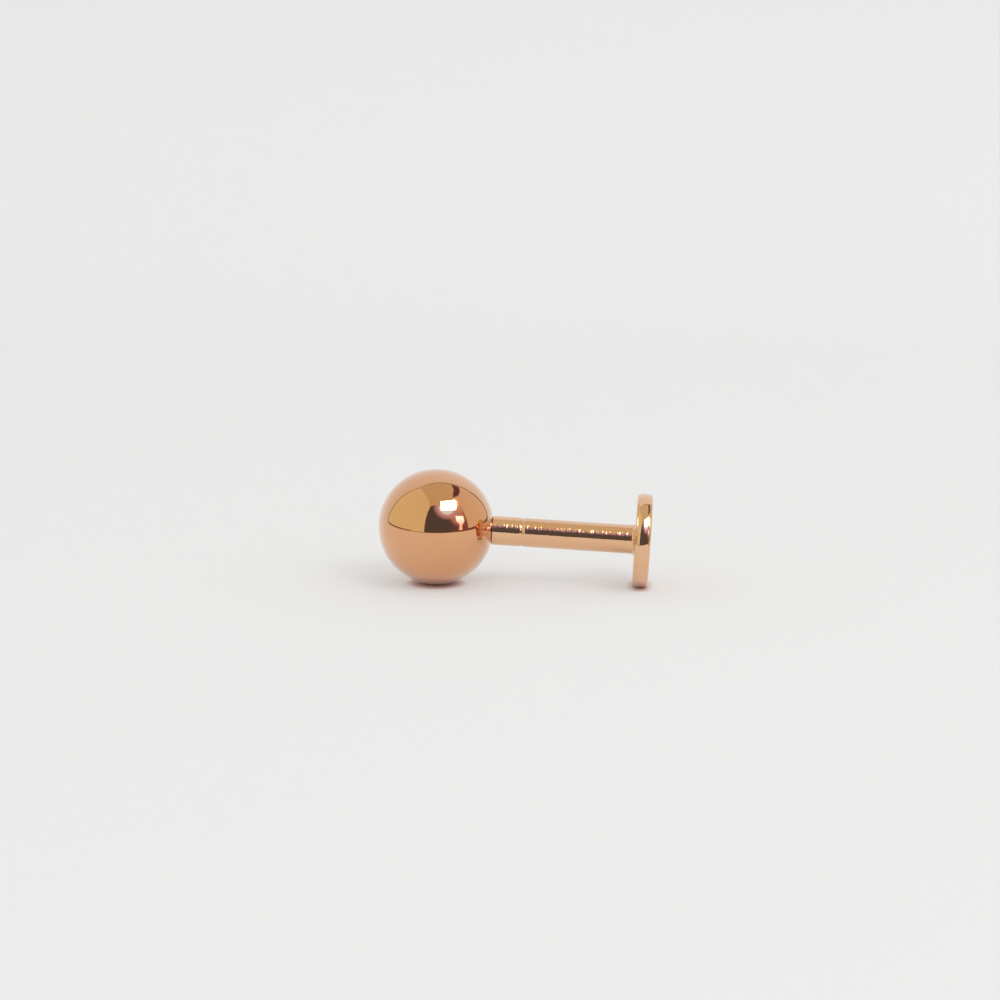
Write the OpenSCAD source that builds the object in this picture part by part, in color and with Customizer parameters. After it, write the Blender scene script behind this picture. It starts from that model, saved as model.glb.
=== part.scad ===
// Labret stud lying on a table: a polished ball screwed onto a straight post with a flat round back.
// The stud rests on the ball and on the rim of its back, so its axis slopes down towards the back.

/* [Ball] */
// Diameter of the ball
ball_d = 5; // [4.4:0.1:6]
// Width of the flat ring on the ball that shows around the post
seat_lip = 0.11; // [0.05:0.01:0.3]

/* [Post] */
// Diameter of the straight post
post_d = 1.25; // [1.2:0.05:1.6]
// Length of the straight post, from its shoulder to the back
post_l = 6.15; // [5:0.05:12]

/* [Back] */
// Diameter of the flat round back
back_d = 4.05; // [3:0.05:5]
// Thickness of the flat round back
back_t = 0.68; // [0.5:0.02:1]
// Radius of the gentle crown across the back's rim
rim_crown = 0.66; // [0.6:0.02:1]
// Radius that rounds both edges of the back's rim
rim_round = 0.12; // [0.04:0.02:0.2]
// Radius of the soldered joint between post and back
solder_round = 0.15; // [0.05:0.01:0.2]

/* [Screw end] */
// Diameter over the thread of the screw end
thread_d = 1.1; // [1:0.02:1.12]
// Length of the screw end
thread_l = 2.6; // [2:0.1:3]
// Distance from one turn of the thread to the next
thread_pitch = 0.25; // [0.2:0.01:0.3]
// Depth of the thread
thread_depth = 0.14; // [0.08:0.01:0.14]
// Length of the narrow neck between the shoulder and the first turn
thread_relief = 0.55; // [0.55:0.05:0.8]
// Bevel at the free end of the screw end
tip_bevel = 0.12; // [0.05:0.01:0.2]
// Bevel at the mouth of the hole in the ball
mouth_bevel = 0.03; // [0.01:0.01:0.03]

/* [Fits] */
// Radial play between the screw end and the hole in the ball
hole_play = 0.03; // [0.01:0.01:0.04]
// Free depth left beyond the end of the screw end
end_play = 0.4; // [0.1:0.1:0.6]
// Gap between the post's shoulder and the ball
seat_gap = 0.04; // [0.02:0.01:0.08]

/* [Hidden] */
$fn = 96;
// overlap that keeps cutting shapes proud of the faces they cut
proud = 0.1;
// overlap of two roundings that run into each other
hair = 0.001;
drill_point_angle = 118;
// turn of both pieces about the stud's axis, which keeps the seam of their round faces off the table
seam_turn = 27.8;

// places along the axis, counted from the ball's centre towards the back
seat_at = sqrt(pow(ball_d / 2, 2) - pow(post_d / 2 + seat_lip, 2));
shoulder_at = seat_at + seat_gap;
back_at = shoulder_at + post_l;
tip_at = shoulder_at - thread_l;
hole_end_at = tip_at - end_play;

hole_r = thread_d / 2 + hole_play;
drill_point_l = hole_r / tan(drill_point_angle / 2);

// thread profile: narrow flat crests, and flanks at 60 degrees to each other
crest_w = thread_pitch / 8;
flank_angle = 30;
first_turn_at = shoulder_at - thread_relief - crest_w;
turn_count = floor((first_turn_at - tip_at - tip_bevel) / thread_pitch);

// section of the rim: the middles of its crown and of its edge roundings, and half the crown's width
crown_in = back_d / 2 - rim_crown;
edge_up = back_t / 2 - rim_round;
edge_in = crown_in + sqrt(pow(rim_crown - rim_round, 2) - pow(edge_up, 2)) + hair;
crown_up = edge_up * rim_crown / (rim_crown - rim_round);

// the rim's crown meets the table in line with the ball
rest_at = back_at + back_t / 2;
slope = asin((ball_d / 2 - rim_crown) / norm([rest_at, crown_in])) - atan2(crown_in, rest_at);

// the origin lies under the middle of the stud's length
reach_x = (rest_at + edge_up) * cos(slope) + edge_in * abs(sin(slope)) + rim_round;
ball_x = (ball_d / 2 - reach_x) / 2;

// lays a piece that is built upright around its axis down on the table
module laid_down() {
  translate([ball_x, 0, ball_d / 2]) rotate([0, 90 + slope, 0]) rotate(seam_turn) children();
}

// half section of the back: a plate whose rim is gently crowned, with two rounded edges
module back_section() {
  translate([0, rest_at]) {
    translate([0, -back_t / 2]) square([edge_in, back_t]);
    for (side = [-1, 1])
      translate([edge_in, side * edge_up]) circle(rim_round);
    intersection() {
      translate([crown_in, 0]) circle(rim_crown);
      translate([edge_in - proud, -crown_up]) square([rim_crown, 2 * crown_up]);
    }
  }
}

// half section of the straight post with the hollow solder joint at the back
module post_section() {
  translate([0, shoulder_at]) square([post_d / 2, post_l + back_t / 2]);
  difference() {
    translate([0, back_at - solder_round]) square([post_d / 2 + solder_round, solder_round + rim_round]);
    translate([post_d / 2 + solder_round, back_at - solder_round]) circle(solder_round);
  }
}

// section of a groove as deep as the thread, which is top wide at the crests and starts below from
module groove_section(from, top) {
  outside = proud * tan(flank_angle);
  inside = thread_depth * tan(flank_angle);
  polygon([
    [thread_d / 2 + proud, from + outside],
    [thread_d / 2 - thread_depth, from - inside],
    [thread_d / 2 - thread_depth, from - top + inside],
    [thread_d / 2 + proud, from - top - outside]
  ]);
}

// half section of the screw end: neck, turns and bevelled tip
// its turns are rings with the thread's pitch and profile
module screw_section() {
  difference() {
    translate([0, tip_at]) square([thread_d / 2, thread_l + proud]);
    groove_section(shoulder_at + proud, thread_relief + proud);
    for (turn = [0 : turn_count - 1])
      groove_section(first_turn_at - turn * thread_pitch, thread_pitch - crest_w);
    translate([thread_d / 2, tip_at]) rotate(45) square(tip_bevel * sqrt(2), center = true);
  }
}

// back, post and screw end are one soldered piece
module labret_post() {
  color([0.80, 0.55, 0.42])
    laid_down()
      rotate_extrude() {
        back_section();
        post_section();
        screw_section();
      }
}

// half section of the drilled hole: drill point, straight wall and bevelled mouth
module hole_section() {
  polygon([
    [0, hole_end_at - drill_point_l],
    [hole_r, hole_end_at],
    [hole_r, seat_at - mouth_bevel],
    [hole_r + mouth_bevel + proud, seat_at + proud],
    [0, seat_at + proud]
  ]);
}

// the ball: a flat where the post seats, and a blind hole for the screw end
module ball() {
  color([0.84, 0.58, 0.44])
    laid_down()
      rotate_extrude() {
        difference() {
          intersection() {
            circle(d = ball_d);
            translate([0, -ball_d / 2]) square([ball_d / 2, ball_d / 2 + seat_at]);
          }
          hole_section();
        }
      }
}

labret_post();
ball();
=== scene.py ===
import math

import bmesh
import bpy
from mathutils import Matrix, Vector


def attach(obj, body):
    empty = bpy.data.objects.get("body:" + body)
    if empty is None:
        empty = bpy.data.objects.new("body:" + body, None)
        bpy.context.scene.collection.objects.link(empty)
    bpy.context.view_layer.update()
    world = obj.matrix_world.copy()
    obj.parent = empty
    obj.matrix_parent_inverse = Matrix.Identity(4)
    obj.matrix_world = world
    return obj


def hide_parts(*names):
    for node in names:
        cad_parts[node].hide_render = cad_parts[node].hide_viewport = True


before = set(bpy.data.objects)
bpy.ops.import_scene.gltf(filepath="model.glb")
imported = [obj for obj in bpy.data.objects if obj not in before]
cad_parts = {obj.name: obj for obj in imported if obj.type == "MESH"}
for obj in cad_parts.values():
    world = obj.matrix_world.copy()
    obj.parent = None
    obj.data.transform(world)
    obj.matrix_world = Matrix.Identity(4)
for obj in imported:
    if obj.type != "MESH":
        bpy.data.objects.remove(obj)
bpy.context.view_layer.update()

# Lengths of the stud are in metres. They repeat the sizes that it is turned to.
MM = 0.001

# The ball, with its flat seat for the post and its threaded hole.
BALL_R = 2.5 * MM
SEAT_R = 0.735 * MM
HOLE_R = 0.58 * MM
HOLE_THREAD_DEPTH = 0.07 * MM
MOUTH_BEVEL = 0.03 * MM
END_PLAY = 0.4 * MM
DRILL_POINT_ANGLE = 118

# The post. Its shoulder is drawn almost on the seat, closer than the solids leave it.
POST_R = 0.625 * MM
POST_L = 6.15 * MM
SEAT_GAP = 0.04 * MM
DRAWN_GAP = 0.004 * MM
SHOULDER_BEVEL = 0.05 * MM
SOLDER_R = 0.15 * MM

# The seam round the post: a fine lip, a long shallow slope, a narrow floor and a short wall.
SEAM_AT = 1.24 * MM
SEAM_DEPTH = 0.032 * MM
SEAM_LIP_DEPTH = 0.002 * MM
SEAM_LIP_L = 0.015 * MM
SEAM_SLOPE_END = 0.175 * MM
SEAM_FLOOR_L = 0.02 * MM
SEAM_WALL_L = 0.03 * MM

# The flat round back. Its rim is a gentle crown between two rounded edges, which overlap it by a hair.
BACK_R = 2.025 * MM
BACK_T = 0.68 * MM
RIM_CROWN = 0.66 * MM
RIM_EDGE = 0.12 * MM
HAIR = 0.001 * MM

# The screw end.
SCREW_R = 0.55 * MM
SCREW_L = 2.6 * MM
THREAD_DEPTH = 0.14 * MM
PITCH = 0.25 * MM
NECK_L = 0.55 * MM
NECK_ROUND = 0.03 * MM
NECK_SLOPE_L = 0.08 * MM
TIP_BEVEL = 0.12 * MM

# Places along the stud's own axis, counted from the middle of the ball towards the back.
SEAT = math.sqrt(BALL_R**2 - SEAT_R**2)
SHOULDER = SEAT + SEAT_GAP
BACK_IN = SHOULDER + POST_L
BACK_OUT = BACK_IN + BACK_T
TIP = SHOULDER - SCREW_L
HOLE_END = TIP - END_PLAY

# The section of the back's rim: the middles of its crown and of the roundings of its two edges.
HALF_T = BACK_T / 2
CROWN_IN = BACK_R - RIM_CROWN
EDGE_UP = HALF_T - RIM_EDGE
FLAT_R = CROWN_IN + math.sqrt((RIM_CROWN - RIM_EDGE) ** 2 - EDGE_UP**2) + HAIR

# The stud lies on the ball and on the crown of its back's rim, so its axis slopes down by this much.
# Zero lies under the middle of its length.
REST = BACK_IN + HALF_T
SLOPE = math.asin((BALL_R - RIM_CROWN) / math.hypot(REST, CROWN_IN)) - math.atan2(CROWN_IN, REST)
REACH = (REST + EDGE_UP) * math.cos(SLOPE) + FLAT_R * math.sin(SLOPE) + RIM_EDGE
BALL_MIDDLE = Vector(((BALL_R - REACH) / 2, 0, BALL_R))
LEAN = math.radians(90) + SLOPE
LAID_DOWN = Matrix.Translation(BALL_MIDDLE) @ Matrix.Rotation(LEAN, 4, "Y")

# How finely the pieces are turned.
STEPS_ROUND = 192
BALL_STEPS = 120
CROWN_STEPS = 16
ROUNDING_STEPS = 10
SCREW_STEPS_PER_TURN = 20
HOLE_STEPS_PER_TURN = 16

# How close extra points stand to the axis or to an edge, which keep the faces there flat.
POLE_R = 0.06 * MM
CLOSE_ON_BACK = 0.03 * MM
CLOSE = 0.02 * MM
CLOSER = 0.01 * MM
CLOSEST = 0.006 * MM

# Points no farther apart than this are one, in a half section and on a turned piece.
SAME_PLACE = 1e-9
WELD = 4e-7


# Helpers for node trees.

def feed(tree, socket, value):
    """Links another node's output to a socket, or sets the socket itself."""
    if isinstance(value, bpy.types.NodeSocket):
        tree.links.new(value, socket)
    else:
        socket.default_value = value


def add(tree, kind, inputs=None, **settings):
    """Adds a node with its settings and its inputs, named or numbered."""
    made = tree.nodes.new(kind)
    for name, value in settings.items():
        setattr(made, name, value)
    for name, value in (inputs or {}).items():
        feed(tree, made.inputs[name], value)
    return made


def calc(tree, operation, first, second=None):
    """One step of arithmetic, which gives its result's socket."""
    made = add(tree, "ShaderNodeMath", {0: first}, operation=operation)
    if second is not None:
        feed(tree, made.inputs[1], second)
    return made.outputs[0]


def axes(tree, place):
    """The three numbers of a place."""
    return add(tree, "ShaderNodeSeparateXYZ", {0: place}).outputs


def ramp_between(tree, value, low, high, to_low=0.0, to_high=1.0):
    """Takes a value from one range to another with soft ends."""
    made = add(tree, "ShaderNodeMapRange", {
        "Value": value, "From Min": low, "From Max": high, "To Min": to_low, "To Max": to_high,
    }, interpolation_type="SMOOTHSTEP")
    return made.outputs["Result"]


def between(tree, share, first, second):
    """A colour between two others, which are sockets or plain red, green and blue."""
    made = add(tree, "ShaderNodeMix", {0: share}, data_type="RGBA")
    # a mix of colours takes them at its inputs 6 and 7, and gives its result at output 2
    for socket, colour in ((6, first), (7, second)):
        feed(tree, made.inputs[socket], (*colour, 1) if isinstance(colour, tuple) else colour)
    return made.outputs[2]


# Turning and thread cutting, as geometry nodes.

def new_tree(name, inputs):
    """A geometry tree with a shape in, a shape out and named sizes."""
    tree = bpy.data.node_groups.new(name, "GeometryNodeTree")
    tree.interface.new_socket("Shape", in_out="OUTPUT", socket_type="NodeSocketGeometry")
    tree.interface.new_socket("Shape", in_out="INPUT", socket_type="NodeSocketGeometry")
    for label, kind in inputs:
        tree.interface.new_socket(label, in_out="INPUT", socket_type=kind)
    return tree, tree.nodes.new("NodeGroupInput").outputs


def position(tree):
    """Where each point of the shape is."""
    return tree.nodes.new("GeometryNodeInputPosition").outputs[0]


def move_points(tree, shape, x, y, z):
    """Moves each point of a shape to a new place."""
    place = add(tree, "ShaderNodeCombineXYZ", {"X": x, "Y": y, "Z": z}).outputs[0]
    return add(tree, "GeometryNodeSetPosition", {"Geometry": shape, "Position": place}).outputs[0]


def close_tree(tree, shape, metal):
    """Ends a tree in smooth faces, real mesh and its metal."""
    smooth = add(tree, "GeometryNodeSetShadeSmooth", {"Geometry": shape})
    real = add(tree, "GeometryNodeRealizeInstances", {"Geometry": smooth.outputs[0]})
    dressed = add(tree, "GeometryNodeSetMaterial", {"Geometry": real.outputs[0], "Material": metal})
    feed(tree, tree.nodes.new("NodeGroupOutput").inputs[0], dressed.outputs[0])


def lathe_tree():
    """Turns a half section round the Z axis. Its points come in order, radius in X and length in Z."""
    tree, given = new_tree("turned_on_a_lathe", [
        ("Steps Round", "NodeSocketInt"),
        ("Metal", "NodeSocketMaterial"),
    ])
    count = add(tree, "GeometryNodeAttributeDomainSize", {"Geometry": given["Shape"]}, component="MESH")
    points = count.outputs["Point Count"]
    columns = calc(tree, "ADD", given["Steps Round"], 1.0)
    grid = add(tree, "GeometryNodeMeshGrid", {
        "Size X": 1.0, "Size Y": 1.0, "Vertices X": columns, "Vertices Y": points,
    })
    # the grid runs from -0.5 to 0.5 both ways: X goes round, and Y goes along the half section
    on_grid = axes(tree, position(tree))
    angle = calc(tree, "MULTIPLY", calc(tree, "ADD", on_grid["X"], 0.5), 2 * math.pi)
    along = calc(tree, "MULTIPLY", calc(tree, "ADD", on_grid["Y"], 0.5),
                 calc(tree, "SUBTRACT", points, 1.0))
    sample = add(tree, "GeometryNodeSampleIndex", data_type="FLOAT_VECTOR")
    feed(tree, sample.inputs["Geometry"], given["Shape"])
    feed(tree, sample.inputs["Value"], position(tree))
    feed(tree, sample.inputs["Index"], calc(tree, "ROUND", along))
    section = axes(tree, sample.outputs[0])
    turned = move_points(tree, grid.outputs["Mesh"],
                         calc(tree, "MULTIPLY", section["X"], calc(tree, "COSINE", angle)),
                         calc(tree, "MULTIPLY", section["X"], calc(tree, "SINE", angle)),
                         section["Z"])
    closed = add(tree, "GeometryNodeMergeByDistance", {"Geometry": turned, "Distance": WELD})
    close_tree(tree, closed.outputs[0], given["Metal"])
    return tree


def thread_tree():
    """Cuts a right-hand thread round the Z axis: side 1 cuts it into a rod, side -1 into a hole."""
    tree, given = new_tree("cut_thread", [
        ("Side", "NodeSocketFloat"),
        ("Thread Radius", "NodeSocketFloat"),
        ("Thread Depth", "NodeSocketFloat"),
        ("Pitch", "NodeSocketFloat"),
        ("From", "NodeSocketFloat"),
        ("To", "NodeSocketFloat"),
        ("Run Out", "NodeSocketFloat"),
        ("Metal", "NodeSocketMaterial"),
    ])
    x, y, z = axes(tree, position(tree))
    radius = calc(tree, "SQRT", calc(tree, "ADD", calc(tree, "MULTIPLY", x, x), calc(tree, "MULTIPLY", y, y)))
    turns = calc(tree, "DIVIDE", calc(tree, "ARCTAN2", y, x), 2 * math.pi)
    phase = calc(tree, "FRACT", calc(tree, "SUBTRACT", calc(tree, "DIVIDE", z, given["Pitch"]), turns))
    # in shares of the pitch: a narrow crest from 0.46 out, a narrow root up to 0.08, and flanks between
    from_root = calc(tree, "ABSOLUTE", calc(tree, "SUBTRACT", phase, 0.5))
    groove = ramp_between(tree, from_root, 0.46, 0.08)
    start = ramp_between(tree, z, given["From"], calc(tree, "ADD", given["From"], given["Run Out"]))
    stop = ramp_between(tree, z, given["To"], calc(tree, "SUBTRACT", given["To"], given["Run Out"]))
    cut = calc(tree, "ADD",
               calc(tree, "MULTIPLY", given["Side"], calc(tree, "SUBTRACT", radius, given["Thread Radius"])),
               calc(tree, "MULTIPLY", given["Thread Depth"], groove))
    cut = calc(tree, "MULTIPLY", calc(tree, "MAXIMUM", cut, 0.0), calc(tree, "MULTIPLY", start, stop))
    left = calc(tree, "SUBTRACT", radius, calc(tree, "MULTIPLY", given["Side"], cut))
    # a point on the axis has no radius to divide by
    share = calc(tree, "DIVIDE", left, calc(tree, "MAXIMUM", radius, 1e-7))
    moved = move_points(tree, given["Shape"],
                        calc(tree, "MULTIPLY", x, share), calc(tree, "MULTIPLY", y, share), z)
    close_tree(tree, moved, given["Metal"])
    return tree


def run_tree(piece, tree, sizes):
    """Runs a tree on a piece and keeps the result as a plain mesh."""
    step = piece.modifiers.new(tree.name, "NODES")
    step.node_group = tree
    for socket in tree.interface.items_tree:
        if socket.in_out == "INPUT" and socket.name in sizes:
            step[socket.identifier] = sizes[socket.name]
    piece.update_tag()
    bpy.context.view_layer.update()
    shaped = piece.evaluated_get(bpy.context.evaluated_depsgraph_get())
    mesh = bpy.data.meshes.new_from_object(shaped)
    piece.modifiers.remove(step)
    old = piece.data
    piece.data = mesh
    bpy.data.meshes.remove(old)


# Half sections, as rows of points with a radius and a place along the axis.

def straight(a, b, steps):
    """Points from a to b, both included."""
    return [(a[0] + (b[0] - a[0]) * i / steps, a[1] + (b[1] - a[1]) * i / steps) for i in range(steps + 1)]


def held(a, b, edge, steps):
    """A straight stretch with an extra point close to each end, which keeps its face flat up to the edge."""
    length = math.dist(a, b)
    share = min(edge / length, 0.3)
    near_a = (a[0] + (b[0] - a[0]) * share, a[1] + (b[1] - a[1]) * share)
    near_b = (b[0] + (a[0] - b[0]) * share, b[1] + (a[1] - b[1]) * share)
    return [a] + straight(near_a, near_b, steps) + [b]


def arc(middle, radius, start, end, steps):
    """Points of an arc, with its angles in degrees from the radius towards the length."""
    return [
        (middle[0] + radius * math.cos(math.radians(start + (end - start) * i / steps)),
         middle[1] + radius * math.sin(math.radians(start + (end - start) * i / steps)))
        for i in range(steps + 1)
    ]


def joined(*parts):
    """One row of points, with the doubles where parts meet left out."""
    row = []
    for part in parts:
        for point in part:
            if not row or math.dist(point, row[-1]) > SAME_PLACE:
                row.append(point)
    return row


def back_part():
    """The back, from the middle of its outer face to its solder joint with the post."""
    lean = math.degrees(math.asin(EDGE_UP / (RIM_CROWN - RIM_EDGE)))
    return joined(
        [(0, BACK_OUT)],
        held((POLE_R, BACK_OUT), (FLAT_R, BACK_OUT), CLOSE_ON_BACK, steps=10),
        arc((FLAT_R, BACK_OUT - RIM_EDGE), RIM_EDGE, 90, lean, ROUNDING_STEPS),
        arc((CROWN_IN, REST), RIM_CROWN, lean, -lean, CROWN_STEPS),
        arc((FLAT_R, BACK_IN + RIM_EDGE), RIM_EDGE, -lean, -90, ROUNDING_STEPS),
        held((FLAT_R, BACK_IN), (POST_R + SOLDER_R, BACK_IN), CLOSE, steps=8),
        arc((POST_R + SOLDER_R, BACK_IN - SOLDER_R), SOLDER_R, 90, 180, ROUNDING_STEPS),
    )


def post_part():
    """The straight post with its seam, down to the bevelled shoulder."""
    seam = SHOULDER + SEAM_AT
    slope_top = seam + SEAM_SLOPE_END
    floor_r = POST_R - SEAM_DEPTH
    face = SEAT + DRAWN_GAP
    return joined(
        held((POST_R, BACK_IN - SOLDER_R), (POST_R, slope_top + SEAM_LIP_L), CLOSE, steps=12),
        held((POST_R - SEAM_LIP_DEPTH, slope_top), (floor_r, seam + SEAM_FLOOR_L), CLOSER, steps=4),
        [(floor_r, seam)],
        held((POST_R, seam - SEAM_WALL_L), (POST_R, face + SHOULDER_BEVEL), CLOSE, steps=4),
        held((POST_R, face + SHOULDER_BEVEL), (POST_R - SHOULDER_BEVEL, face), CLOSEST, steps=3),
    )


def screw_part():
    """The shoulder's face, the neck and the screw end, still without its thread."""
    root = SCREW_R - THREAD_DEPTH
    face = SEAT + DRAWN_GAP
    neck_end = SHOULDER - NECK_L
    bevel_from = TIP + TIP_BEVEL
    rings = int((SCREW_L - NECK_L) / PITCH * SCREW_STEPS_PER_TURN)
    return joined(
        held((POST_R - SHOULDER_BEVEL, face), (root + NECK_ROUND, face), CLOSER, steps=3),
        arc((root + NECK_ROUND, face - NECK_ROUND), NECK_ROUND, 90, 180, steps=4),
        straight((root, face - NECK_ROUND), (root, neck_end + NECK_SLOPE_L + CLOSER), steps=6),
        straight((root, neck_end + NECK_SLOPE_L), (SCREW_R, neck_end), steps=6),
        straight((SCREW_R, neck_end), (SCREW_R, bevel_from), rings),
        straight((SCREW_R, bevel_from), (SCREW_R - TIP_BEVEL, TIP), steps=8),
        held((SCREW_R - TIP_BEVEL, TIP), (POLE_R, TIP), CLOSE, steps=5),
        [(0, TIP)],
    )


def ball_section():
    """Round outside, seat, mouth and drilled hole, from the far pole of the ball."""
    seat_angle = math.degrees(math.acos(SEAT_R / BALL_R))
    point_l = HOLE_R / math.tan(math.radians(DRILL_POINT_ANGLE / 2))
    rings = int((SEAT - HOLE_END) / PITCH * HOLE_STEPS_PER_TURN)
    # the outside ends just before the seat, and the corner between them is broken very finely
    outside_end = seat_angle - 0.8
    corner = (SEAT_R - 0.001 * MM, SEAT - 0.004 * MM)
    seat_from = (SEAT_R - 0.012 * MM, SEAT)
    near_point = (POLE_R, HOLE_END - point_l * (1 - POLE_R / HOLE_R))
    return joined(
        arc((0, 0), BALL_R, -90, outside_end, BALL_STEPS),
        [corner],
        held(seat_from, (HOLE_R + MOUTH_BEVEL, SEAT), CLOSER, steps=3),
        straight((HOLE_R + MOUTH_BEVEL, SEAT), (HOLE_R, SEAT - MOUTH_BEVEL), steps=3),
        straight((HOLE_R, SEAT - MOUTH_BEVEL), (HOLE_R, HOLE_END), rings),
        held((HOLE_R, HOLE_END), near_point, CLOSER, steps=6),
        [(0, HOLE_END - point_l)],
    )


LATHE = lathe_tree()
THREAD = thread_tree()


def make_piece(name, section, metal, thread):
    """Turns a half section, cuts its thread and lays the piece down in its place."""
    mesh = bpy.data.meshes.new(name)
    edges = [(i, i + 1) for i in range(len(section) - 1)]
    mesh.from_pydata([(radius, 0, along) for radius, along in section], edges, [])
    piece = bpy.data.objects.new(name, mesh)
    bpy.context.scene.collection.objects.link(piece)
    run_tree(piece, LATHE, {"Steps Round": STEPS_ROUND, "Metal": metal})
    run_tree(piece, THREAD, {"Metal": metal, "Pitch": PITCH, **thread})
    work = bmesh.new()
    work.from_mesh(piece.data)
    bmesh.ops.recalc_face_normals(work, faces=work.faces)
    if work.calc_volume(signed=True) < 0:
        bmesh.ops.reverse_faces(work, faces=work.faces)
    work.to_mesh(piece.data)
    work.free()
    piece.data.transform(LAID_DOWN)
    piece.data.name = name
    return piece


# Helpers for materials.

def plain(name):
    """A new material with an empty tree."""
    made = bpy.data.materials.new(name)
    made.use_nodes = True
    made.node_tree.nodes.clear()
    return made, made.node_tree


def show(tree, shader):
    """Makes a shader the one that the surface shows."""
    add(tree, "ShaderNodeOutputMaterial", {"Surface": shader.outputs[0]})


def object_place(tree):
    """Where a point of the piece is, in metres."""
    return tree.nodes.new("ShaderNodeTexCoord").outputs["Object"]


def stretched(tree, place, degrees, scale):
    """The same coordinates turned and stretched, for marks that run in one direction."""
    made = add(tree, "ShaderNodeMapping", {
        "Vector": place, "Rotation": [math.radians(a) for a in degrees], "Scale": scale,
    })
    return made.outputs[0]


def noise(tree, place, scale, detail=2.0, rough=0.5):
    """Soft noise between 0 and 1."""
    made = add(tree, "ShaderNodeTexNoise", {
        "Vector": place, "Scale": scale, "Detail": detail, "Roughness": rough,
    })
    return made.outputs["Fac"]


def bump(tree, height, distance, under=None):
    """Shades a surface as if a height raised it by up to a distance, on top of another bump."""
    made = add(tree, "ShaderNodeBump", {"Height": height, "Strength": 1.0, "Distance": distance})
    if under is not None:
        feed(tree, made.inputs["Normal"], under)
    return made.outputs[0]


# The metals. Their patterns are laid out in millimetres along the stud's own axes.

BALL_TONES = ((0.77, 0.345, 0.12), (0.755, 0.325, 0.105))
POST_TONES = ((0.845, 0.465, 0.225), (0.825, 0.44, 0.2))
SPECK_TONE = (0.45, 0.2, 0.08)
WAVE_HEIGHT = 1.2e-6
TOOL_MARK_HEIGHT = 1.9e-5
SCRATCH_DEPTH = 2e-7

# Two sets of hairline scratches: the angles they are turned by, their length and their width, and the
# noise below which a patch of the metal has none.
HAIRLINES = (
    ((20, 35, 10), 1.6, 0.03, 0.62),
    ((-50, 10, 70), 1.1, 0.025, 0.64),
)


def stud_coordinates(tree):
    """Millimetres along the stud's own axes, with Z along the post and zero in the middle of the ball."""
    made = add(tree, "ShaderNodeMapping", {
        "Vector": object_place(tree), "Location": BALL_MIDDLE, "Rotation": (0, LEAN, 0),
        "Scale": (MM, MM, MM),
    }, vector_type="TEXTURE")
    return made.outputs[0]


def hairlines(tree, place, degrees, length, width, spared):
    """Fine scratches that run in one direction, 1 on a line and 0 beside it."""
    field = noise(tree, stretched(tree, place, degrees, (1 / width, 1 / length, 1 / width)), 1.0, 1.0)
    off = calc(tree, "ABSOLUTE", calc(tree, "SUBTRACT", field, 0.5))
    line = ramp_between(tree, off, 0.012, 0.0)
    patch = ramp_between(tree, noise(tree, place, 0.9, 2.0), spared, spared + 0.1)
    return calc(tree, "MULTIPLY", line, patch)


def tool_marks(tree, place):
    """Fine uneven rings that a turning tool leaves on the post, in patches, around a height of 0."""
    rings = noise(tree, stretched(tree, place, (0, 0, 0), (1.9, 1.9, 8)), 1.0, 2.5)
    patches = ramp_between(tree, noise(tree, stretched(tree, place, (0, 0, 0), (1, 1, 2)), 3.5, 2.0),
                           0.36, 0.6, 0.25, 1.0)
    back_at = BACK_IN / MM
    on_post = ramp_between(tree, axes(tree, place)["Z"], back_at - 0.15, back_at - 0.3)
    marks = calc(tree, "SUBTRACT", rings, 0.5)
    return calc(tree, "MULTIPLY", calc(tree, "MULTIPLY", marks, patches), on_post)


def rose_gold(name, tones, wave_scale, with_tool_marks):
    """Mirror-polished steel with a rose-gold-coloured coating, its colour between two tones."""
    metal, tree = plain(name)
    place = stud_coordinates(tree)

    tone = ramp_between(tree, noise(tree, place, 0.45, 3.0), 0.35, 0.65)
    colour = between(tree, tone, *tones)
    specks = ramp_between(tree, noise(tree, place, 6.5, 3.0, 0.6), 0.62, 0.69, 0.0, 0.2)
    colour = between(tree, specks, colour, SPECK_TONE)

    scratches = calc(tree, "MAXIMUM", *(hairlines(tree, place, *one) for one in HAIRLINES))
    smudge = ramp_between(tree, noise(tree, place, 1.3, 4.0, 0.6), 0.45, 0.75, 0.03, 0.07)
    roughness = calc(tree, "ADD", smudge, calc(tree, "MULTIPLY", scratches, 0.06))

    shape = bump(tree, noise(tree, place, wave_scale, 2.0), WAVE_HEIGHT)
    if with_tool_marks:
        shape = bump(tree, tool_marks(tree, place), TOOL_MARK_HEIGHT, shape)
    shape = bump(tree, calc(tree, "MULTIPLY", scratches, -1.0), SCRATCH_DEPTH, shape)

    show(tree, add(tree, "ShaderNodeBsdfPrincipled", {
        "Base Color": colour, "Roughness": roughness, "Normal": shape, "Metallic": 1.0,
        "Coat Weight": 1.0, "Coat IOR": 2.0, "Coat Roughness": 0.03,
        "Sheen Weight": 0.36, "Sheen Roughness": 0.35,
    }))
    return metal


ball_polish = rose_gold("polished_rose_gold_ball", BALL_TONES, wave_scale=0.7, with_tool_marks=False)
post_polish = rose_gold("polished_rose_gold_post", POST_TONES, wave_scale=1.4, with_tool_marks=True)

# The screw end's thread runs out over its tip and into its neck. The hole's stops short at both ends.
post = make_piece("post_and_back", joined(back_part(), post_part(), screw_part()), post_polish, {
    "Side": 1.0, "Thread Radius": SCREW_R, "Thread Depth": THREAD_DEPTH,
    "From": TIP - MM, "To": SHOULDER - 0.02 * MM, "Run Out": 0.02 * MM,
})
ball = make_piece("threaded_ball", ball_section(), ball_polish, {
    "Side": -1.0, "Thread Radius": HOLE_R, "Thread Depth": HOLE_THREAD_DEPTH,
    "From": HOLE_END + 0.05 * MM, "To": SEAT - 0.25 * MM, "Run Out": 0.2 * MM,
})

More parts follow.
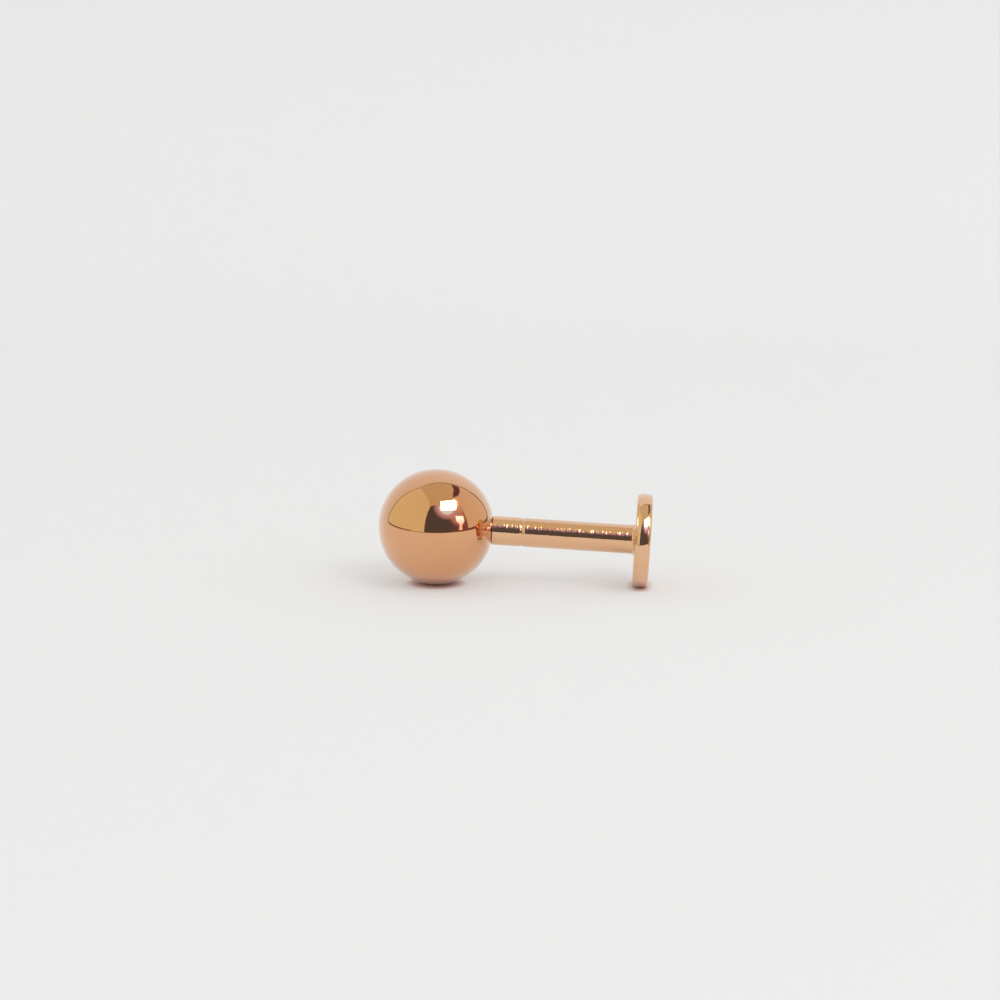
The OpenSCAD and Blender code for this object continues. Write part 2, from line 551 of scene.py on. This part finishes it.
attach(post, "post")
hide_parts("labret_post")
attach(ball, "ball")
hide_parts("ball")


# The studio is laid out from the middle of the ball: to the right, away from the camera, and up.
# Its lengths are in millimetres and its angles in degrees. The shades, the lamp and the camera take metres.

RIGHT = Vector((0.99935, 0.03610, 0))
AWAY = Vector((-0.03610, 0.99935, 0))
UP = Vector((0, 0, 1))

# How far the tent and the cards stand from the ball, and the longest step along a card's outline.
TENT_FROM_BALL = 420
CEILING_FROM_BALL = 410
CARDS_FROM_BALL = 400
LIGHTS_FROM_BALL = 330
OUTLINE_STEP = 8

# Outlines of the cards, in degrees to the right of the camera and degrees up.
DARK_CARD = [
    (-23, -3), (-22.7, 14), (-21.8, 28), (-19.9, 40), (-16, 52), (-10, 57.5), (2, 57.5), (14, 54),
    (40, 56), (72, 50), (72, 45), (69, 36), (67.7, 27), (67.5, 14), (68, -3),
]
CEILING_CARD = [
    (-134.5, 57.9), (-104.7, 67.8), (-68.3, 71), (-35.8, 66.4), (-21.5, 56.9), (-17.6, 46.7),
    (42.4, 43.1), (73, 58.9), (143.8, 58.3), (156.6, 59.8), (-179.2, 60.7), (-153.9, 60.4),
]
HIGH_BAR = [(138, 62), (129, 52), (91, 55.5), (69, 60.5), (90, 64)]
KEY_CARD = [
    (16, 62.3), (40, 61), (60, 57), (69, 56), (69, 52), (58, 44), (52, 39), (30, 41.5), (13, 43.5),
]
SIDE_CARD = [
    (44.6, 28.5), (61.9, 24.6), (61.2, 15.9), (54.2, 8.4), (54.9, 0.1), (46, 0.5), (49.3, 12.1),
    (43.6, 19.4),
]

# The white sheet: where it bends up, the bend's radius, and how far its upright part reaches to the left
# and to the right at each height. Below are its dark edges and the table, which lies a little lower.
BEND_AT = 60.0
BEND_R = 22.0
UPRIGHT_CUTS = (
    (60.0, -187.0, 96.0), (95.0, -187.0, 101.0), (120.0, -186.0, 92.0), (148.0, -185.0, 86.0),
    (181.0, -184.0, 62.0), (219.0, -180.0, 26.0), (258.0, -172.0, -36.0), (293.0, -164.0, -100.0),
    (332.0, -157.0, -154.0),
)
SHEET_COLUMNS = 25
SHEET_EDGE_W = 12.0
FRONT_EDGE_W = 5.0
TABLE_REACH = 900
TABLE_DROP = 0.2


def spot(right, away, up):
    """A place in the studio. Up is counted from the table."""
    ground = Vector((BALL_MIDDLE.x, BALL_MIDDLE.y, 0))
    return ground + (RIGHT * right + AWAY * away + UP * up) * MM


def towards(side, height, distance):
    """A place seen from the ball, side degrees to the right of the camera and height degrees up."""
    a, e = math.radians(side), math.radians(height)
    flat = distance * math.cos(e)
    return spot(flat * math.sin(a), -flat * math.cos(a), distance * math.sin(e) + BALL_R / MM)


def near(tree, middle, far, close):
    """1 as close as this to a place seen from the ball on the cards, 0 from far on. Both are in metres."""
    gap = add(tree, "ShaderNodeVectorMath", {0: object_place(tree), 1: towards(*middle, CARDS_FROM_BALL)},
              operation="DISTANCE")
    return ramp_between(tree, gap.outputs["Value"], far, close)


# The white paper: its tones, its painted glow that lifts its shadows, and the painted warm shade and glow
# where something stands on it.
PAPER_TONES = ((0.592, 0.592, 0.590), (0.602, 0.602, 0.600))
PAPER_PAINTED_GLOW = (0.835, 0.835, 0.833)
PAPER_PAINTED_GLOW_STRENGTH = 0.32
CONTACT_PAINTED_WARM_SHADE = (0.64, 0.32, 0.23)
CONTACT_PAINTED_WARM_GLOW = (1.6, 0.5, 0.28)
CONTACT_PAINTED_SHADE_REACH = 0.33 * MM
GRAIN_HEIGHT = 4e-6


def paper():
    """White paper with a very faint grain. It glows with painted light that lifts its shadows.
    Near the places that something stands on, the glow fades to painted shade, and a painted warm tint stands
    for light that the metal throws back."""
    sheet, tree = plain("white_paper_with_painted_light")
    grain = noise(tree, object_place(tree), 2600.0, 5.0, 0.65)
    # Ambient occlusion over a short reach makes the painted contact shade: there the painted glow fades, and
    # colour and glow turn a painted warm.
    painted_contact_shade = add(tree, "ShaderNodeAmbientOcclusion", {"Distance": CONTACT_PAINTED_SHADE_REACH}, samples=1)
    painted_light_share = painted_contact_shade.outputs["AO"]
    white = between(tree, grain, *PAPER_TONES)
    show(tree, add(tree, "ShaderNodeBsdfPrincipled", {
        "Base Color": between(tree, painted_light_share, CONTACT_PAINTED_WARM_SHADE, white),
        "Normal": bump(tree, grain, GRAIN_HEIGHT),
        "Emission Color": between(tree, painted_light_share, CONTACT_PAINTED_WARM_GLOW, PAPER_PAINTED_GLOW),
        "Emission Strength": calc(tree, "MULTIPLY", painted_light_share, PAPER_PAINTED_GLOW_STRENGTH),
        "Roughness": 0.85,
        "Specular IOR Level": 0.1,
    }))
    sheet.cycles.emission_sampling = "NONE"
    return sheet


def glow(name, colour, strength=1.0):
    """A glowing surface, which the sampling of lamps leaves alone. Its colour is plain, or a shade."""
    light, tree = plain(name)
    shown = colour(tree) if callable(colour) else (*colour, 1)
    show(tree, add(tree, "ShaderNodeEmission", {"Color": shown, "Strength": strength}))
    light.cycles.emission_sampling = "NONE"
    return light


def wall_shade(tree):
    """The tent's light, warm on the left and paler on the right."""
    side = ramp_between(tree, axes(tree, object_place(tree))["X"], -0.06, 0.06)
    return between(tree, side, (0.80, 0.82, 0.585), (0.77, 0.71, 0.60))


def felt_with_painted_glow(tree):
    """Dark felt, redder on the right, with a painted glow round the two bright cards."""
    side = ramp_between(tree, axes(tree, object_place(tree))["X"], 0.18, 0.36)
    felt = between(tree, side, (0.10, 0.10, 0.115), (0.27, 0.11, 0.13))
    # Painted glow in rings round the side card and round the key card.
    felt = between(tree, near(tree, (50, 26), 0.139, 0.07), felt, (0.62, 0.34, 0.32))
    felt = between(tree, near(tree, (62, 44), 0.12, 0.05), felt, (0.7, 0.5, 0.5))
    felt = between(tree, near(tree, (30, 48), 0.185, 0.115), felt, (0.64, 0.46, 0.68))
    return between(tree, near(tree, (30, 48), 0.118, 0.08), felt, (0.92, 1.3, 2.0))


def side_shade(tree):
    """The side card's glow, which pales towards its top."""
    high = ramp_between(tree, axes(tree, object_place(tree))["Z"], 0.04, 0.14)
    return between(tree, high, (0.8, 0.6, 0.6), (1.25, 1.45, 2.05))


def staged(name, corners, faces, finish):
    """A piece of the studio, which isn't part of the stud."""
    mesh = bpy.data.meshes.new(name)
    mesh.from_pydata([tuple(c) for c in corners], [], faces)
    for face in mesh.polygons:
        face.use_smooth = True
    mesh.materials.append(finish)
    piece = bpy.data.objects.new(name, mesh)
    bpy.context.scene.collection.objects.link(piece)
    return piece


def only_mirrored(piece):
    """Lets polished metal mirror a piece of the studio, which neither lights nor shades the table."""
    piece.visible_camera = False
    piece.visible_diffuse = False
    piece.visible_shadow = False


def grid_faces(rows, columns):
    """Faces of a grid whose corners come row by row."""
    return [
        (r * columns + c, r * columns + c + 1, (r + 1) * columns + c + 1, (r + 1) * columns + c)
        for r in range(rows - 1) for c in range(columns - 1)
    ]


def card(name, outline, distance, finish):
    """A card round the ball, which fills an outline."""
    corners = []
    for (side, height), (next_side, next_height) in zip(outline, outline[1:] + outline[:1]):
        turn = (next_side - side + 180) % 360 - 180
        rise = next_height - height
        steps = math.ceil(max(abs(turn), abs(rise)) / OUTLINE_STEP)
        corners += [towards(side + turn * i / steps, height + rise * i / steps, distance)
                    for i in range(steps)]
    middle = sum(corners, Vector()) / len(corners)
    middle = BALL_MIDDLE + (middle - BALL_MIDDLE).normalized() * distance * MM
    count = len(corners)
    faces = [(i, (i + 1) % count, count) for i in range(count)]
    only_mirrored(staged(name, corners + [middle], faces, finish))


def ribbon(name, line, width, finish):
    """A narrow dark edge along a sheet, which polished metal mirrors as a thin line."""
    corners = []
    for i, point in enumerate(line):
        ahead = (line[min(i + 1, len(line) - 1)] - line[max(i - 1, 0)]).normalized()
        aside = ahead.cross((BALL_MIDDLE - point).normalized()).normalized() * width * MM / 2
        corners += [point - aside, point + aside]
    only_mirrored(staged(name, corners, grid_faces(len(line), 2), finish))


def sheet_rows():
    """Rows across the sheet, from its front to its top: away, up, and its reach to the left and right."""
    rows = [(-130.0, 0.0, -150.0, 89.0), (BEND_AT, 0.0, -184.0, 89.0)]
    for degrees in range(6, 91, 6):
        a = math.radians(degrees)
        rows.append((BEND_AT + BEND_R * math.sin(a), BEND_R - BEND_R * math.cos(a), -185.0, 89.0))
    return rows + [(BEND_AT + BEND_R, *cut) for cut in UPRIGHT_CUTS]


def sweep_sheet(finish):
    """A white sheet that lies flat under the stud and bends up behind it, with a dark edge."""
    rows = sheet_rows()
    corners = [
        spot(left + (right - left) * c / (SHEET_COLUMNS - 1), away, up)
        for away, up, left, right in rows for c in range(SHEET_COLUMNS)
    ]
    staged("white_sheet", corners, grid_faces(len(rows), SHEET_COLUMNS), finish)
    edge = [spot(left, away, up) for away, up, left, right in rows]
    edge += [spot(right, away, up) for away, up, left, right in reversed(rows)]
    shade = glow("sheet_edge_shade", (0.22, 0.12, 0.085))
    ribbon("sheet_edge", edge, SHEET_EDGE_W, shade)
    ribbon("sheet_front_edge", [edge[-1], edge[0]], FRONT_EDGE_W, shade)


def table(finish):
    """The same white all round the sheet, which only widens the view."""
    reach = TABLE_REACH
    outline = ((-reach, -reach), (reach, -reach), (reach, reach), (-reach, reach))
    corners = [spot(right, away, -TABLE_DROP) for right, away in outline]
    piece = staged("white_table", corners, [(0, 1, 2, 3)], finish)
    piece.visible_glossy = False


def tent(rings=24, columns=49, lowest=-12, highest=89.9):
    """A soft tent of light round the table, which closes above the ball."""
    corners = [
        towards(360 * c / (columns - 1), min((90 - lowest) * r / rings + lowest, highest), TENT_FROM_BALL)
        for r in range(rings + 1) for c in range(columns)
    ]
    walls = staged("light_tent", corners, grid_faces(rings + 1, columns), glow("tent_light", wall_shade))
    only_mirrored(walls)


def lamp(name, place, width, tall, energy, colour):
    """A soft lamp that lights the table and isn't mirrored itself."""
    light = bpy.data.lights.new(name, "AREA")
    light.shape = "RECTANGLE"
    light.size = width
    light.size_y = tall
    light.energy = energy
    light.color = colour
    made = bpy.data.objects.new(name, light)
    facing = (place - BALL_MIDDLE).to_track_quat("Z", "Y").to_matrix().to_4x4()
    made.matrix_world = Matrix.Translation(place) @ facing
    made.visible_glossy = False
    bpy.context.scene.collection.objects.link(made)


white_paper = paper()
sweep_sheet(white_paper)
table(white_paper)
tent()
card("dark_card", DARK_CARD, CARDS_FROM_BALL, glow("dark_felt_with_painted_glow", felt_with_painted_glow))
card("ceiling_card", CEILING_CARD, CEILING_FROM_BALL, glow("ceiling_shade", (0.665, 0.61, 0.455)))
card("high_bar", HIGH_BAR, CARDS_FROM_BALL, glow("bar_shade", (0.145, 0.07, 0.11)))
card("key_card", KEY_CARD, LIGHTS_FROM_BALL, glow("key_glow", (1.0, 0.98, 0.97), 7.0))
card("side_card", SIDE_CARD, LIGHTS_FROM_BALL, glow("side_glow", side_shade, 1.6))
lamp("key_lamp", towards(44.3, 45.7, LIGHTS_FROM_BALL), width=0.19, tall=0.14, energy=0.2,
     colour=(1.0, 0.99, 0.98))

world = bpy.data.worlds.new("pale_surround")
bpy.context.scene.world = world
world.use_nodes = True
surround = world.node_tree.nodes["Background"].inputs
surround["Color"].default_value = (0.81, 0.81, 0.808, 1)
surround["Strength"].default_value = 1.0


# The camera: its place, the way it looks, its roll, its lens and sensor, and the range it can see.
CAMERA_PLACE = Vector((0.005998, -0.18505, 0.04164))
CAMERA_AHEAD = Vector((-0.0353, 0.9790, -0.2007))
CAMERA_ROLL = math.radians(0.35)
LENS_MM = 157.9
SENSOR_MM = 36.0
NEAREST = 0.005
FARTHEST = 5.0


def take_picture_from(place, ahead, roll):
    """Sets up the camera and makes it the scene's own."""
    ahead = ahead.normalized()
    level = ahead.cross(UP).normalized()
    over = level.cross(ahead)
    right = level * math.cos(roll) + over * math.sin(roll)
    upright = over * math.cos(roll) - level * math.sin(roll)
    lens = bpy.data.cameras.new("camera")
    lens.sensor_width = SENSOR_MM
    lens.lens = LENS_MM
    lens.clip_start = NEAREST
    lens.clip_end = FARTHEST
    camera = bpy.data.objects.new("camera", lens)
    bpy.context.scene.collection.objects.link(camera)
    turned = Matrix((right, upright, -ahead)).transposed().to_4x4()
    camera.matrix_world = Matrix.Translation(place) @ turned
    bpy.context.scene.camera = camera


take_picture_from(CAMERA_PLACE, CAMERA_AHEAD, CAMERA_ROLL)
bpy.context.scene.view_settings.view_transform = "Standard"
bpy.context.scene.view_settings.look = "None"
